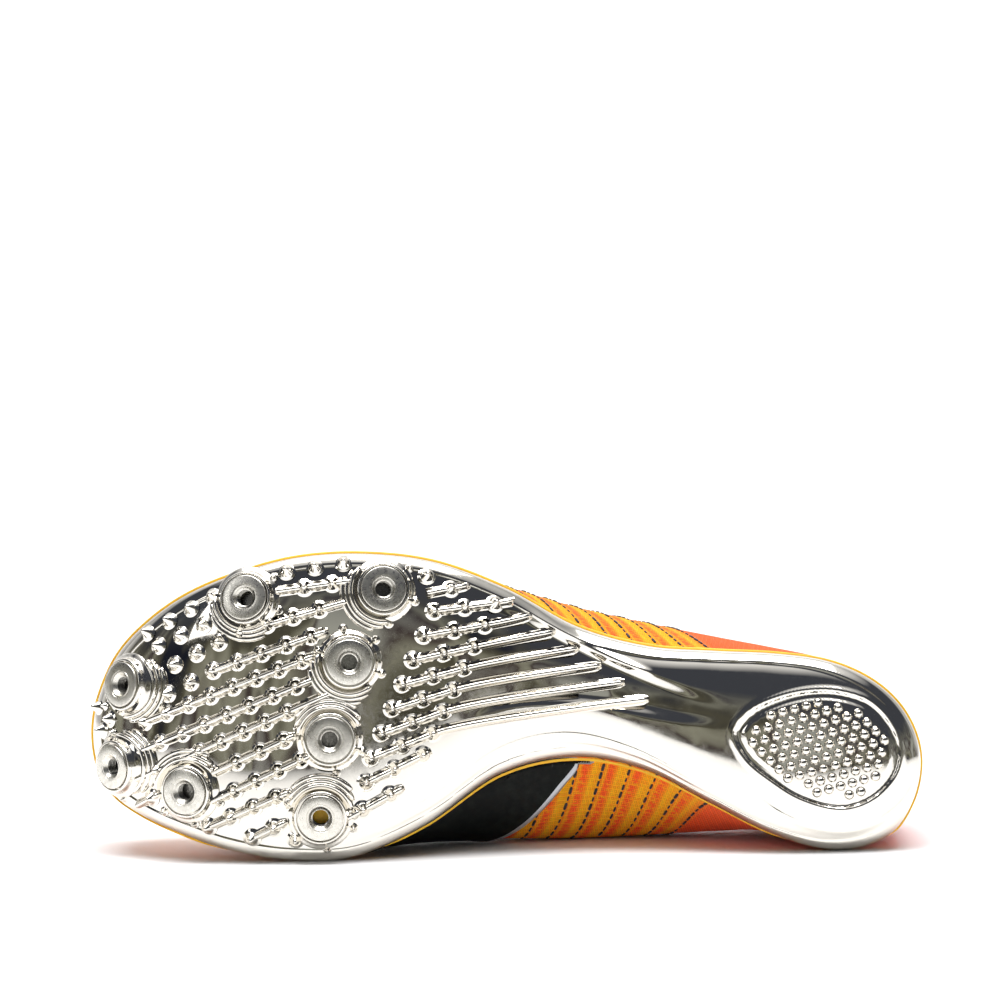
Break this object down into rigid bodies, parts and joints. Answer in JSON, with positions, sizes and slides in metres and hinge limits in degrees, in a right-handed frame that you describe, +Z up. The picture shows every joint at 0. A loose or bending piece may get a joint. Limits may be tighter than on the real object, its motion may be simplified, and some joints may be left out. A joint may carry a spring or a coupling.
{
  "type": "sprint spike shoe",
  "caption": "Left sprint spike shoe with a mirror-plated studded sole, empty spike seats and a knit upper, lying on its inner side with the sole to the front",
  "frame": {"origin": "Bottom centre of the bounding box of the shoe as it lies", "axes": "The shoe lies on its inner side: the toe points to -X, the sole faces -Y and a little up, the outer side is +Z up"},
  "size_m": [0.271, 0.0966, 0.0977],
  "materials": {
    "plated_plate": "polished",
    "socket_metal": "satin",
    "midsole_foam": "matte",
    "insole_cloth": "matte",
    "knit": "matte",
    "tongue_cloth": "matte",
    "panel_film": "matte",
    "lace_cord": "matte"
  },
  "bodies": {
    "root": {"spike_plate": "plated_plate", "spike_socket_1": "socket_metal", "spike_socket_2": "socket_metal", "spike_socket_3": "socket_metal", "spike_socket_4": "socket_metal", "spike_socket_5": "socket_metal", "spike_socket_6": "socket_metal", "spike_socket_7": "socket_metal", "spike_socket_8": "socket_metal", "midsole": "midsole_foam", "insole": "insole_cloth", "upper": "knit", "tongue": "tongue_cloth", "side_panel": "panel_film", "lace": "lace_cord"}
  },
  "joints": []
}
